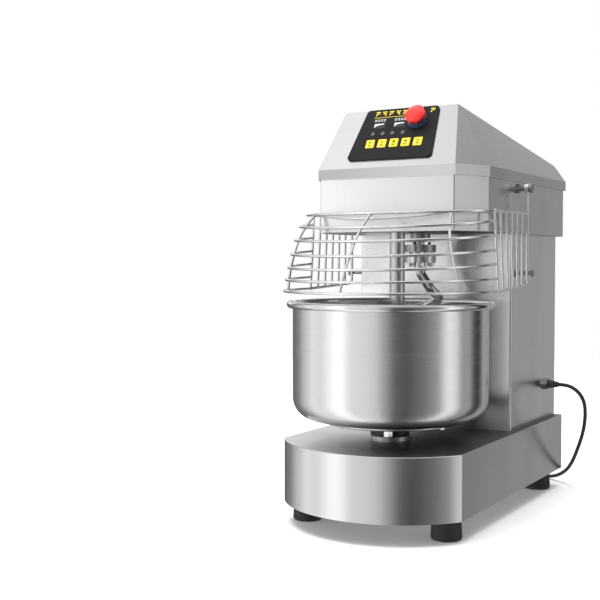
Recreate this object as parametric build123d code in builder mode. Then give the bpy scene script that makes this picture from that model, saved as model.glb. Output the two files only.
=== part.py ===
from build123d import *
import math
import os

# Spiral dough mixer, 20 litre bowl, in millimetres.
# +Z is up, +X is the operator's right and +Y points to the back.
# The origin is on the floor, under the middle of the machine's box.

os.makedirs("parts", exist_ok=True)

# ---- driving dimensions ----
AXIS_Y = -152.5            # bowl axis, measured from the origin
SHEET = 2.0                # thickness of the steel housings
FIT = 0.05                 # radial clearance of a shaft in its bearing
GAP = 0.4                  # clearance between pieces that pass each other

FOOT_R = 27.5
FOOT_H = 39.0
FOOT_X = 140.0
FOOT_FRONT_Y = AXIS_Y - 62.0
FOOT_REAR_Y = AXIS_Y + 425.0
STUD_R = 5.0

BASE_HALF_W = 178.0
BASE_SIDE_Y = AXIS_Y - 84.0      # where the sides meet the round front
BASE_FRONT_Y = AXIS_Y - 185.0
BASE_REAR_Y = AXIS_Y + 476.0
BASE_TOP = 154.0
PLATE_T = 4.0

COLUMN_HALF_W = 163.0
COLUMN_FRONT_Y = AXIS_Y + 195.0
COLUMN_REAR_Y = AXIS_Y + 470.0

HEAD_BOTTOM = 536.0
HEAD_TOP = 635.0
HEAD_HALF_W = 170.0
HEAD_FACE_HALF_W = 135.0
HEAD_FRONT_Y = AXIS_Y - 23.5
HEAD_CHAMFER_Y = AXIS_Y + 54.0
HEAD_REAR_Y = AXIS_Y + 498.0

LID_OVERHANG = 3.0
LID_BAND = 19.0
RIDGE_Y = AXIS_Y + 40.5
RIDGE_Z = 767.5
RIDGE_HALF_W = 115.0
ROOF_END_Y = AXIS_Y + 475.0
ROOF_END_Z = 687.0
LID_REAR_Y = AXIS_Y + 503.0

BOWL_R = 180.0
BOWL_WALL = 2.0
BOWL_BOTTOM = 194.0
BOWL_TOP = 410.0
BOWL_CORNER_R = 38.0
RIM_R = 6.5
DISC_R = 120.0
DISC_T = 8.0
DISC_BOLT_HEAD = 13.0
BOLT_CIRCLE_R = 92.0
HUB_R = 36.5
HUB_RING_T = 8.0

SPIRAL_X = 19.0
SPIRAL_Y = AXIS_Y + 90.0
SPIRAL_BAR_R = 9.0
SPIRAL_SWEEP_R = 59.0
FLANGE_R = 30.0
FLANGE_T = 14.0
HOOK_FLANGE_Z = 480.0
SHAFT_FLANGE_Z = 500.0

BREAKER_X = 12.0
BREAKER_Y = AXIS_Y + 4.0
BREAKER_R = 14.0
BREAKER_TIP_Z = 206.0

WIRE_R = 2.5
FRAME_R = 3.0
GUARD_X = 190.0
GUARD_FRONT_Y = AXIS_Y + 40.0
GUARD_REAR_Y = AXIS_Y + 204.0
PIVOT_Z = 622.0
STOP_Z = 460.0

CORD_R = 3.75
GLAND_Y = AXIS_Y + 404.0
GLAND_Z = 226.0


def ring_at(x, y, z, outer, inner, height):
    """A plain vertical ring standing on z."""
    with BuildPart() as ring:
        with BuildSketch(Plane((x, y, z))):
            Circle(outer)
            Circle(inner, mode=Mode.SUBTRACT)
        extrude(amount=height)
    return ring.part


def bolt_on(seat, shank_r, length, head_r, head_h):
    """A hexagon bolt on a seat plane: its head along the normal, its shank behind."""
    with BuildPart() as bolt:
        with BuildSketch(seat):
            RegularPolygon(head_r, 6)
        extrude(amount=head_h)
        chamfer(bolt.faces().sort_by(Axis(seat.origin, seat.z_dir))[-1].edges(), 0.6)
        with BuildSketch(seat):
            Circle(shank_r)
        extrude(amount=-length)
    return bolt.part


def rod_along_x(x, y, z, radius, length):
    """A round rod that starts at x and runs along X."""
    with BuildPart() as rod:
        with BuildSketch(Plane((x, y, z), x_dir=(0, 1, 0), z_dir=(1, 0, 0))):
            Circle(radius)
        extrude(amount=length)
    return rod.part


def corner_radii(points):
    """The largest even arcs that the straight runs between the points allow."""
    radii = []
    for before, corner, after in zip(points, points[1:], points[2:]):
        run_in = corner - before
        run_out = after - corner
        half_turn = math.radians(run_in.get_angle(run_out)) / 2
        radii.append(0.45 * min(run_in.length, run_out.length) / math.tan(half_turn))
    return radii


def bent_bar(points, radius):
    """A round bar of straight runs and tangent arcs through the points' corners."""
    path = FilletPolyline(*points, radius=corner_radii(points))
    with BuildPart() as bar:
        with BuildSketch(Plane(path @ 0, z_dir=path % 0)):
            Circle(radius)
        sweep(path=path)
    return bar.part


def wire(path, radius):
    """A round wire along a path, its section square to the path's start."""
    with BuildPart() as rod:
        with BuildSketch(Plane(path @ 0, z_dir=path % 0)):
            Circle(radius)
        sweep(path=path)
    return rod.part


def group(pieces, label):
    """Separate solids kept together in one node."""
    solids = [solid for piece in pieces for solid in piece.solids()]
    return Compound(children=solids, label=label)


def save(shape, label):
    shape.label = label
    export_step(shape, f"parts/{label}.step")


# ---- feet ----
FOOT_PLACES = [
    (side * FOOT_X, y)
    for side in (-1, 1)
    for y in (FOOT_FRONT_Y, FOOT_REAR_Y)
]

foot_pads = []
foot_studs = []
for foot_x, foot_y in FOOT_PLACES:
    with BuildPart() as pad:
        with BuildSketch(Plane((foot_x, foot_y, 0), x_dir=(1, 0, 0), z_dir=(0, -1, 0))):
            with BuildLine():
                Polyline((STUD_R, 8), (STUD_R + 7, 8), (STUD_R + 9, 2), (STUD_R + 11, 0), (FOOT_R - 3, 0),
                         (FOOT_R - 0.6, 2.4), (FOOT_R, 6), (FOOT_R - 1.5, FOOT_H - 4), (FOOT_R - 4, FOOT_H - 0.5),
                         (FOOT_R - 6, FOOT_H), (STUD_R, FOOT_H), (STUD_R, 8))
            make_face()
        revolve(axis=Axis((foot_x, foot_y, 0), (0, 0, 1)))
    foot_pads.append(pad.part)
    with BuildPart() as stud:
        with BuildSketch(Plane((foot_x, foot_y, 8))):
            Circle(STUD_R)
        extrude(amount=FOOT_H + PLATE_T + 8)
        with BuildSketch(Plane((foot_x, foot_y, FOOT_H + PLATE_T + SHEET))):
            RegularPolygon(9.5, 6)
        extrude(amount=8)
    foot_studs.append(stud.part)
save(group(foot_pads, "rubber_feet"), "rubber_feet")


# ---- base ----
def base_outline(z, inset):
    """The base seen from above, as a face at height z."""
    half = BASE_HALF_W - inset
    rear = BASE_REAR_Y - inset
    with BuildSketch(Plane.XY.offset(z)) as outline:
        with BuildLine():
            ThreePointArc((-half, BASE_SIDE_Y), (0, BASE_FRONT_Y + inset), (half, BASE_SIDE_Y))
            Polyline((half, BASE_SIDE_Y), (half, rear), (-half, rear), (-half, BASE_SIDE_Y))
        make_face()
    return outline.sketch


base_face = base_outline(FOOT_H, 0)
with BuildPart() as base_shell:
    extrude(base_face, amount=BASE_TOP - FOOT_H)
    fillet(base_shell.edges().filter_by(Axis.Z), 3)
    fillet(base_shell.faces().sort_by(Axis.Z)[-1].edges(), 2.5)
    offset(amount=-SHEET, openings=base_shell.faces().sort_by(Axis.Z)[0])
    with BuildSketch(Plane((0, AXIS_Y, BASE_TOP))):
        Circle(26)
    extrude(amount=-10, mode=Mode.SUBTRACT)
    with BuildSketch(Plane((60, AXIS_Y + 330, BASE_TOP))):
        Circle(24)
    extrude(amount=-10, mode=Mode.SUBTRACT)
save(base_shell.part, "base_shell")

plate_face = base_outline(FOOT_H + SHEET, SHEET + 0.6)
with BuildPart() as base_plate:
    extrude(plate_face, amount=PLATE_T)
    fillet(base_plate.edges().filter_by(Axis.Z), 3)
    with Locations(*[(x, y, FOOT_H + SHEET) for x, y in FOOT_PLACES]):
        Cylinder(STUD_R + 0.25, 20, mode=Mode.SUBTRACT)
save(base_plate.part, "base_plate")

foot_washers = [ring_at(x, y, FOOT_H, 12, STUD_R + 0.25, SHEET) for x, y in FOOT_PLACES]
save(group(foot_studs + foot_washers, "foot_fasteners"), "foot_fasteners")

# ---- column ----
COLUMN_W = 2 * COLUMN_HALF_W
COLUMN_D = COLUMN_REAR_Y - COLUMN_FRONT_Y
COLUMN_MID_Y = (COLUMN_REAR_Y + COLUMN_FRONT_Y) / 2
COLUMN_H = HEAD_BOTTOM - BASE_TOP
REAR_WINDOW_W = 280.0
REAR_WINDOW_H = 320.0
REAR_WINDOW_Z = BASE_TOP + COLUMN_H / 2
with BuildPart() as column_shell:
    with BuildSketch(Plane((0, COLUMN_MID_Y, BASE_TOP))):
        RectangleRounded(COLUMN_W, COLUMN_D, 4)
        RectangleRounded(COLUMN_W - 2 * SHEET, COLUMN_D - 2 * SHEET, 2, mode=Mode.SUBTRACT)
    extrude(amount=COLUMN_H)
    with BuildSketch(Plane((0, COLUMN_REAR_Y + 5, REAR_WINDOW_Z), x_dir=(1, 0, 0), z_dir=(0, -1, 0))):
        RectangleRounded(REAR_WINDOW_W, REAR_WINDOW_H, 6)
    extrude(amount=15, mode=Mode.SUBTRACT)
    with BuildSketch(Plane((COLUMN_HALF_W + 5, GLAND_Y, GLAND_Z), x_dir=(0, 1, 0), z_dir=(-1, 0, 0))):
        Circle(8)
    extrude(amount=15, mode=Mode.SUBTRACT)
save(column_shell.part, "column_shell")

COVER_T = 1.5
LOUVRE_ROWS = 9
with BuildPart() as rear_cover:
    with BuildSketch(Plane((0, COLUMN_REAR_Y + COVER_T, REAR_WINDOW_Z), x_dir=(1, 0, 0), z_dir=(0, -1, 0))):
        RectangleRounded(REAR_WINDOW_W + 30, REAR_WINDOW_H + 30, 8)
        with GridLocations(120, 16, 2, LOUVRE_ROWS):
            SlotOverall(90, 5, mode=Mode.SUBTRACT)
        with GridLocations(REAR_WINDOW_W + 15, (REAR_WINDOW_H + 15) / 2, 2, 3):
            Circle(2.2, mode=Mode.SUBTRACT)
    extrude(amount=COVER_T)
save(rear_cover.part, "rear_cover")

cover_screws = []
for screw_x in (-(REAR_WINDOW_W + 15) / 2, (REAR_WINDOW_W + 15) / 2):
    for screw_z in (-1, 0, 1):
        z = REAR_WINDOW_Z + screw_z * (REAR_WINDOW_H + 15) / 2
        with BuildPart() as screw:
            with BuildSketch(Plane((screw_x, COLUMN_REAR_Y + COVER_T, z), x_dir=(1, 0, 0), z_dir=(0, 1, 0))):
                Circle(4.5)
            extrude(amount=2.4, taper=25)
            with BuildSketch(Plane((screw_x, COLUMN_REAR_Y + COVER_T, z), x_dir=(1, 0, 0), z_dir=(0, -1, 0))):
                Circle(2)
            extrude(amount=COVER_T)
        cover_screws.append(screw.part)


# ---- head ----
def head_outline(z, grow, front_y, rear_y):
    """The head seen from above, a box whose front corners are cut, as a face at height z."""
    face = HEAD_FACE_HALF_W + grow
    side = HEAD_HALF_W + grow
    chamfer_y = HEAD_CHAMFER_Y - grow
    with BuildSketch(Plane.XY.offset(z)) as outline:
        with BuildLine():
            Polyline((-face, front_y), (face, front_y), (side, chamfer_y), (side, rear_y), (-side, rear_y),
                     (-side, chamfer_y), (-face, front_y))
        make_face()
    return outline.sketch


SPIRAL_HOLE_R = 24.0
head_face = head_outline(HEAD_BOTTOM, 0, HEAD_FRONT_Y, HEAD_REAR_Y)
with BuildPart() as head_shell:
    extrude(head_face, amount=HEAD_TOP - HEAD_BOTTOM)
    fillet(head_shell.edges().filter_by(Axis.Z), 3)
    fillet(head_shell.faces().sort_by(Axis.Z)[0].edges(), 1.5)
    offset(amount=-SHEET, openings=head_shell.faces().sort_by(Axis.Z)[-1])
    with BuildSketch(Plane((0, COLUMN_MID_Y, HEAD_BOTTOM - 1))):
        RectangleRounded(COLUMN_W - 40, COLUMN_D - 40, 10)
    extrude(amount=10, mode=Mode.SUBTRACT)
    with BuildSketch(Plane((SPIRAL_X, SPIRAL_Y, HEAD_BOTTOM - 1))):
        Circle(SPIRAL_HOLE_R)
    extrude(amount=10, mode=Mode.SUBTRACT)
    with BuildSketch(Plane((BREAKER_X, BREAKER_Y, HEAD_BOTTOM - 1))):
        Circle(BREAKER_R + 0.3)
    extrude(amount=10, mode=Mode.SUBTRACT)
save(head_shell.part, "head_shell")

# ---- lid ----
LID_Z = HEAD_TOP
BAND_TOP = LID_Z + LID_BAND
LID_FRONT_Y = HEAD_FRONT_Y - LID_OVERHANG
LID_HALF_W = HEAD_HALF_W + LID_OVERHANG
FACE_HALF_W = HEAD_FACE_HALF_W + LID_OVERHANG
SLOPE_RISE = RIDGE_Z - BAND_TOP
SLOPE_RUN = RIDGE_Y - LID_FRONT_Y
SLOPE = math.hypot(SLOPE_RISE, SLOPE_RUN)
slope_up = Vector(0, SLOPE_RUN / SLOPE, SLOPE_RISE / SLOPE)
slope_out = Vector(0, -SLOPE_RISE / SLOPE, SLOPE_RUN / SLOPE)
corner_low = Vector(FACE_HALF_W, LID_FRONT_Y, BAND_TOP)
corner_side = Vector(LID_HALF_W, HEAD_CHAMFER_Y - LID_OVERHANG, BAND_TOP)
corner_ridge = Vector(RIDGE_HALF_W, RIDGE_Y, RIDGE_Z)
facet_out = (corner_side - corner_low).cross(corner_ridge - corner_low).normalized()
facet_right = Plane(corner_low, z_dir=facet_out)
facet_left = Plane(Vector(-FACE_HALF_W, LID_FRONT_Y, BAND_TOP), z_dir=(-facet_out.X, facet_out.Y, facet_out.Z))


def face_plane(x, along, above):
    """A plane parallel to the control face: x across, along up the slope, above its surface."""
    origin = Vector(x, LID_FRONT_Y, BAND_TOP) + slope_up * along + slope_out * above
    return Plane(origin, x_dir=(1, 0, 0), z_dir=slope_out)


PANEL_T = 4.0
PANEL_LOW = 0.12 * SLOPE
PANEL_HIGH = 0.985 * SLOPE
PANEL_LOW_X = (-82.0, 89.0)
PANEL_HIGH_X = (-65.0, 81.0)
KEY_ALONG = 0.38 * SLOPE
KEYS_MIDDLE_X = 8.0
KEY_PITCH = 24.0
KEY_W = 17.0
KEY_L = 18.0
ROUND_ALONG = 0.55 * SLOPE
ROUND_KEYS_X = (-40.0, -20.0, 0.0, 21.0)
ROUND_R = 4.0
DISPLAY_ALONG = 0.70 * SLOPE
DISPLAYS_X = (-32.5, 8.5)
STOP_X = 44.0
STOP_ALONG = 0.772 * SLOPE
STOP_HOLE_R = 11.2

LID_SCREWS_X = (-120, 0, 120)
lid_face = head_outline(LID_Z, LID_OVERHANG, LID_FRONT_Y, LID_REAR_Y)
lip_outer = head_outline(LID_Z, LID_OVERHANG - 1, LID_FRONT_Y + 1, LID_REAR_Y - 1)
lip_inner = head_outline(LID_Z, -8, HEAD_FRONT_Y + 8, HEAD_REAR_Y - 8)
with BuildPart() as lid:
    with BuildSketch(Plane.YZ):
        with BuildLine():
            Polyline((LID_FRONT_Y, LID_Z), (LID_FRONT_Y, BAND_TOP), (RIDGE_Y, RIDGE_Z), (ROOF_END_Y, ROOF_END_Z),
                     (LID_REAR_Y, BAND_TOP), (LID_REAR_Y, LID_Z), (LID_FRONT_Y, LID_Z))
        make_face()
    extrude(amount=LID_HALF_W, both=True)
    with BuildSketch(Plane.XZ):
        with BuildLine():
            Polyline((-LID_HALF_W, LID_Z), (LID_HALF_W, LID_Z), (LID_HALF_W, BAND_TOP), (RIDGE_HALF_W, RIDGE_Z),
                     (-RIDGE_HALF_W, RIDGE_Z), (-LID_HALF_W, BAND_TOP), (-LID_HALF_W, LID_Z))
        make_face()
    extrude(amount=500, both=True, mode=Mode.INTERSECT)
    extrude(lid_face, amount=200, mode=Mode.INTERSECT)
    split(bisect_by=facet_right, keep=Keep.BOTTOM)
    split(bisect_by=facet_left, keep=Keep.BOTTOM)
    offset(amount=-SHEET, openings=lid.faces().sort_by(Axis.Z)[0])
    with BuildSketch(Plane((0, LID_REAR_Y + 1, LID_Z + LID_BAND / 2), x_dir=(1, 0, 0), z_dir=(0, 1, 0))):
        with Locations(*[(x, 0) for x in LID_SCREWS_X]):
            Circle(2.2)
    extrude(amount=-8, mode=Mode.SUBTRACT)
    extrude(lip_outer - lip_inner, amount=SHEET)
    with BuildSketch(face_plane(0, 0.47 * SLOPE, 1)):
        RectangleRounded(130, 40, 4)
    extrude(amount=-8, mode=Mode.SUBTRACT)
    with BuildSketch(face_plane(STOP_X, STOP_ALONG, 1)):
        Circle(STOP_HOLE_R)
    extrude(amount=-8, mode=Mode.SUBTRACT)
save(lid.part, "lid")

for screw_x in LID_SCREWS_X:
    seat = Plane((screw_x, LID_REAR_Y, LID_Z + LID_BAND / 2), x_dir=(1, 0, 0), z_dir=(0, 1, 0))
    cover_screws.append(bolt_on(seat, 2, SHEET, 4, 2.5))
save(group(cover_screws, "cover_screws"), "cover_screws")

# ---- control face ----
KEYS_X = [KEYS_MIDDLE_X + KEY_PITCH * step for step in (-2, -1, 0, 1, 2)]
with BuildPart() as control_panel:
    with BuildSketch(face_plane(0, 0, 0)) as panel_face:
        with BuildLine():
            Polyline((PANEL_LOW_X[0], PANEL_LOW), (PANEL_LOW_X[1], PANEL_LOW), (PANEL_HIGH_X[1], PANEL_HIGH),
                     (PANEL_HIGH_X[0], PANEL_HIGH), (PANEL_LOW_X[0], PANEL_LOW))
        make_face()
        fillet(panel_face.vertices(), 8)
        with Locations(*[(x, KEY_ALONG) for x in KEYS_X]):
            RectangleRounded(KEY_W + 2 * GAP, KEY_L + 2 * GAP, 2, mode=Mode.SUBTRACT)
        with Locations(*[(x, ROUND_ALONG) for x in ROUND_KEYS_X]):
            Circle(ROUND_R + GAP, mode=Mode.SUBTRACT)
        with Locations(*[(x, DISPLAY_ALONG) for x in DISPLAYS_X]):
            Rectangle(24, 12, mode=Mode.SUBTRACT)
        with Locations((STOP_X, STOP_ALONG)):
            Circle(STOP_HOLE_R, mode=Mode.SUBTRACT)
    extrude(amount=PANEL_T)
    chamfer(control_panel.faces().sort_by(Axis((0, 0, 0), slope_out))[-1].outer_wire().edges(), 0.8)
save(control_panel.part, "control_panel")

displays = []
for display_x in DISPLAYS_X:
    with BuildPart() as display:
        with BuildSketch(face_plane(display_x, DISPLAY_ALONG, 0)):
            Rectangle(23.8, 11.8)
        extrude(amount=PANEL_T - 0.5)
    displays.append(display.part)
save(group(displays, "displays"), "displays")

KEY_RISE = 1.2
KEY_TRAVEL = 0.8
for number, key_x in enumerate(KEYS_X, start=1):
    with BuildPart() as square_key:
        with BuildSketch(face_plane(key_x, KEY_ALONG, KEY_RISE)):
            RectangleRounded(KEY_W, KEY_L, 1.6)
        extrude(amount=PANEL_T)
        fillet(square_key.faces().sort_by(Axis((0, 0, 0), slope_out))[-1].edges(), 0.6)
    save(square_key.part, f"square_key_{number}")
for number, key_x in enumerate(ROUND_KEYS_X, start=1):
    with BuildPart() as round_key:
        with BuildSketch(face_plane(key_x, ROUND_ALONG, KEY_RISE)):
            Circle(ROUND_R)
        extrude(amount=PANEL_T)
        fillet(round_key.faces().sort_by(Axis((0, 0, 0), slope_out))[-1].edges(), 0.6)
    save(round_key.part, f"round_key_{number}")

BOARD_DEPTH = 10.0
BOARD_ALONG = 0.5 * SLOPE
with BuildPart() as control_board:
    with BuildSketch(face_plane(0, BOARD_ALONG, -BOARD_DEPTH)):
        Rectangle(144, 64)
        with Locations((STOP_X, STOP_ALONG - BOARD_ALONG)):
            Rectangle(30, 30, mode=Mode.SUBTRACT)
    extrude(amount=1.6)
standoffs = []
for standoff_x in (-67, 67):
    for standoff_along in (-28.5, 28.5):
        with BuildPart() as standoff:
            with BuildSketch(face_plane(standoff_x, BOARD_ALONG + standoff_along, -BOARD_DEPTH + 1.6)):
                Circle(3)
            extrude(amount=BOARD_DEPTH - 1.6 - SHEET)
        standoffs.append(standoff.part)

switches = []
SWITCH_PLACES = [(x, KEY_ALONG) for x in KEYS_X] + [(x, ROUND_ALONG) for x in ROUND_KEYS_X]
for switch_x, switch_along in SWITCH_PLACES:
    with BuildPart() as switch:
        with BuildSketch(face_plane(switch_x, switch_along, -BOARD_DEPTH + 1.6)):
            Rectangle(6, 6)
        extrude(amount=3.5)
        with BuildSketch(face_plane(switch_x, switch_along, -BOARD_DEPTH + 1.6)):
            Circle(1.7)
        extrude(amount=BOARD_DEPTH - 1.6 + KEY_RISE - KEY_TRAVEL - GAP)
    switches.append(switch.part)
save(group([control_board.part] + standoffs + switches, "control_board"), "control_board")

# ---- emergency stop ----
STEM_R = 6.0
COLLAR_H = 2.5
HEAD_LOW = 7.5
HEAD_HIGH = 22.0
STOP_HEAD_R = 19.5
SKIRT_H = 8.0
SCALLOP_R = 18.0
SCALLOP_DEPTH = 1.5
STOP_BLOCK_DEPTH = 34.0
stop_surface = face_plane(STOP_X, STOP_ALONG, PANEL_T)
stop_section = Plane(stop_surface.origin, x_dir=(1, 0, 0), z_dir=-slope_up)
stop_axis = Axis(stop_surface.origin, slope_out)

with BuildPart() as estop_collar:
    with BuildSketch(stop_section):
        with BuildLine():
            Polyline((STEM_R + FIT, 0), (17, 0), (17, 1.2), (15, COLLAR_H), (STEM_R + FIT, COLLAR_H),
                     (STEM_R + FIT, 0))
        make_face()
    revolve(axis=stop_axis)
    with BuildSketch(stop_surface):
        Circle(11)
        Circle(STEM_R + FIT, mode=Mode.SUBTRACT)
    extrude(amount=-(PANEL_T + SHEET + 1))
save(estop_collar.part, "estop_collar")

with BuildPart() as estop_stem:
    with BuildSketch(stop_surface.offset(HEAD_LOW + 10)):
        Circle(STEM_R)
    extrude(amount=-(HEAD_LOW + 10 + PANEL_T + SHEET + 14))
save(estop_stem.part, "estop_stem")

dome_rise = HEAD_HIGH - HEAD_LOW - SKIRT_H
dome_r = (STOP_HEAD_R ** 2 + dome_rise ** 2) / (2 * dome_rise)
dome_middle = HEAD_HIGH - dome_r + math.sqrt(dome_r ** 2 - (STOP_HEAD_R / 2) ** 2)
with BuildPart() as estop_head:
    with BuildSketch(stop_section):
        with BuildLine():
            Polyline((STEM_R + FIT, HEAD_LOW), (14, HEAD_LOW), (STOP_HEAD_R, HEAD_LOW + 4),
                     (STOP_HEAD_R, HEAD_LOW + SKIRT_H))
            ThreePointArc((STOP_HEAD_R, HEAD_LOW + SKIRT_H), (STOP_HEAD_R / 2, dome_middle), (0, HEAD_HIGH))
            Polyline((0, HEAD_HIGH), (0, HEAD_LOW + 10 + GAP), (STEM_R + FIT, HEAD_LOW + 10 + GAP),
                     (STEM_R + FIT, HEAD_LOW))
        make_face()
    revolve(axis=stop_axis)
    with BuildSketch(stop_surface.offset(HEAD_LOW - 1)):
        with PolarLocations(STOP_HEAD_R + SCALLOP_R - SCALLOP_DEPTH, 3, start_angle=30):
            Circle(SCALLOP_R)
    extrude(amount=HEAD_HIGH, mode=Mode.SUBTRACT)
save(estop_head.part, "estop_head")

with BuildPart() as estop_block:
    with BuildSketch(face_plane(STOP_X, STOP_ALONG, -SHEET - 1.5)):
        Rectangle(24, 24)
        Circle(STEM_R + FIT, mode=Mode.SUBTRACT)
    extrude(amount=-STOP_BLOCK_DEPTH)
save(estop_block.part, "estop_block")

# ---- bowl, turning on its own shaft ----
BOWL_CENTRE = (0, AXIS_Y)
DISC_BOTTOM = BOWL_BOTTOM - DISC_T
HUB_BOTTOM = BASE_TOP + HUB_RING_T + GAP
BOWL_SHAFT_R = 15.0
inner_r = BOWL_R - BOWL_WALL
flat_r = BOWL_R - BOWL_CORNER_R
corner_z = BOWL_BOTTOM + BOWL_CORNER_R
rim_z = BOWL_TOP - RIM_R
diagonal = math.sqrt(0.5)
bowl_section = Plane((0, AXIS_Y, 0), x_dir=(1, 0, 0), z_dir=(0, -1, 0))
bowl_axis = Axis((0, AXIS_Y, 0), (0, 0, 1))
with BuildPart() as bowl:
    with BuildSketch(bowl_section):
        with BuildLine():
            Line((0, BOWL_BOTTOM), (flat_r, BOWL_BOTTOM))
            ThreePointArc((flat_r, BOWL_BOTTOM),
                          (flat_r + BOWL_CORNER_R * diagonal, corner_z - BOWL_CORNER_R * diagonal),
                          (BOWL_R, corner_z))
            Polyline((BOWL_R, corner_z), (BOWL_R, rim_z), (inner_r, rim_z), (inner_r, corner_z))
            ThreePointArc((inner_r, corner_z),
                          (flat_r + (BOWL_CORNER_R - BOWL_WALL) * diagonal,
                           corner_z - (BOWL_CORNER_R - BOWL_WALL) * diagonal),
                          (flat_r, BOWL_BOTTOM + BOWL_WALL))
            Polyline((flat_r, BOWL_BOTTOM + BOWL_WALL), (0, BOWL_BOTTOM + BOWL_WALL), (0, BOWL_BOTTOM))
        make_face()
        with Locations((inner_r + RIM_R, rim_z)):
            Circle(RIM_R)
    revolve(axis=bowl_axis)
save(bowl.part, "bowl")

BOLT_TURN = -66.0
BOLT_R = 5.0
with BuildPart() as bowl_disc:
    with BuildSketch(Plane((0, AXIS_Y, DISC_BOTTOM))):
        Circle(DISC_R)
        with PolarLocations(BOLT_CIRCLE_R, 4, start_angle=BOLT_TURN):
            Circle(BOLT_R + 0.2, mode=Mode.SUBTRACT)
    extrude(amount=DISC_T)
    chamfer(bowl_disc.faces().sort_by(Axis.Z)[0].outer_wire().edges(), 1.5)
save(bowl_disc.part, "bowl_disc")

bowl_bolts = []
for place in PolarLocations(BOLT_CIRCLE_R, 4, start_angle=BOLT_TURN):
    seat = Plane((place.position.X, AXIS_Y + place.position.Y, DISC_BOTTOM), z_dir=(0, 0, -1))
    bowl_bolts.append(bolt_on(seat, BOLT_R, DISC_T, 8.5, DISC_BOLT_HEAD))
save(group(bowl_bolts, "bowl_bolts"), "bowl_bolts")

with BuildPart() as bowl_hub:
    with BuildSketch(Plane((0, AXIS_Y, HUB_BOTTOM))):
        Circle(HUB_R)
        Circle(BOWL_SHAFT_R + 0.02, mode=Mode.SUBTRACT)
    extrude(amount=DISC_BOTTOM - HUB_BOTTOM)
    chamfer(bowl_hub.faces().sort_by(Axis.Z)[0].outer_wire().edges(), 1)
save(bowl_hub.part, "bowl_hub")

with BuildPart() as bowl_shaft:
    with BuildSketch(Plane((0, AXIS_Y, 56))):
        Circle(BOWL_SHAFT_R)
    extrude(amount=DISC_BOTTOM - 56)
hub_ring = ring_at(0, AXIS_Y, BASE_TOP, HUB_R, BOWL_SHAFT_R + 1, HUB_RING_T)
save(hub_ring, "hub_ring")

HOUSING_TOP = BASE_TOP - SHEET
BEARING_R = 26.0
with BuildPart() as bowl_housing:
    with BuildSketch(Plane((0, AXIS_Y, HOUSING_TOP))):
        Circle(46)
    extrude(amount=-6)
    with BuildSketch(Plane((0, AXIS_Y, HOUSING_TOP - 6))):
        Circle(32)
    extrude(amount=-52)
    with BuildSketch(Plane((0, AXIS_Y, HOUSING_TOP))):
        Circle(BEARING_R)
    extrude(amount=-60, mode=Mode.SUBTRACT)

bowl_bearings = [
    ring_at(0, AXIS_Y, z, BEARING_R - 0.02, BOWL_SHAFT_R + FIT, 14)
    for z in (HOUSING_TOP - 56, HOUSING_TOP - 18)
]

# ---- drive: motor, jackshaft, idler, sprockets, belt and chains ----
MOTOR = (-64.0, AXIS_Y + 325.0)
JACK = (60.0, AXIS_Y + 330.0)
IDLER = (-40.0, AXIS_Y + 190.0)
SPIRAL = (SPIRAL_X, SPIRAL_Y)
JACK_SHAFT_R = 12.0
IDLER_SHAFT_R = 9.0
SPIRAL_SHAFT_R = 15.0
ROTOR_SHAFT_R = 11.0
PLATE_Z = HEAD_BOTTOM + SHEET
GEAR_PLATE_T = 6.0
BELT_Z = 560.0
HEAD_CHAIN_Z = 606.0
FIRST_CHAIN_Z = 112.0
BOWL_CHAIN_Z = 70.0
LINK = 12.7


def sprocket_at(centre, z, pitch_r, bore_r):
    """A chain sprocket whose gaps take the chain's rollers, with a short boss."""
    teeth = round(2 * math.pi * pitch_r / LINK)
    with BuildPart() as sprocket:
        with BuildSketch(Plane((centre[0], centre[1], z))):
            Circle(pitch_r + 2)
            with PolarLocations(pitch_r + 1, teeth):
                Circle(3.4, mode=Mode.SUBTRACT)
            Circle(bore_r + 0.02, mode=Mode.SUBTRACT)
        extrude(amount=5)
        with BuildSketch(Plane((centre[0], centre[1], z + 5))):
            Circle(bore_r + 7)
            Circle(bore_r + 0.02, mode=Mode.SUBTRACT)
        extrude(amount=9)
    return sprocket.part


def pulley_at(centre, z, rim_r, bore_r):
    """A belt pulley with one groove."""
    section = Plane((centre[0], centre[1], z), x_dir=(1, 0, 0), z_dir=(0, -1, 0))
    with BuildPart() as pulley:
        with BuildSketch(section):
            with BuildLine():
                Polyline((bore_r + 0.02, 0), (rim_r, 0), (rim_r, 3), (rim_r - 7, 3.5), (rim_r - 7, 11.5),
                         (rim_r, 12), (rim_r, 15), (bore_r + 0.02, 15), (bore_r + 0.02, 0))
            make_face()
        revolve(axis=Axis((centre[0], centre[1], 0), (0, 0, 1)))
    return pulley.part


def loop_between(first, first_r, second, second_r, z, thickness, height):
    """A closed band around two round wheels."""
    bands = []
    for grow in (thickness, 0):
        with BuildSketch(Plane.XY.offset(z)) as band:
            with Locations(first):
                Circle(first_r + grow)
            with Locations(second):
                Circle(second_r + grow)
            make_hull()
        bands.append(band.sketch)
    return extrude(bands[0] - bands[1], amount=height)


MOTOR_PULLEY_R = 28.0
JACK_PULLEY_R = 85.0
JACK_HEAD_R = 30.0
SPIRAL_WHEEL_R = 60.0
JACK_BASE_R = 24.0
IDLER_WHEEL_R = 72.0
IDLER_PINION_R = 30.0
BOWL_WHEEL_R = 90.0

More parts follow.
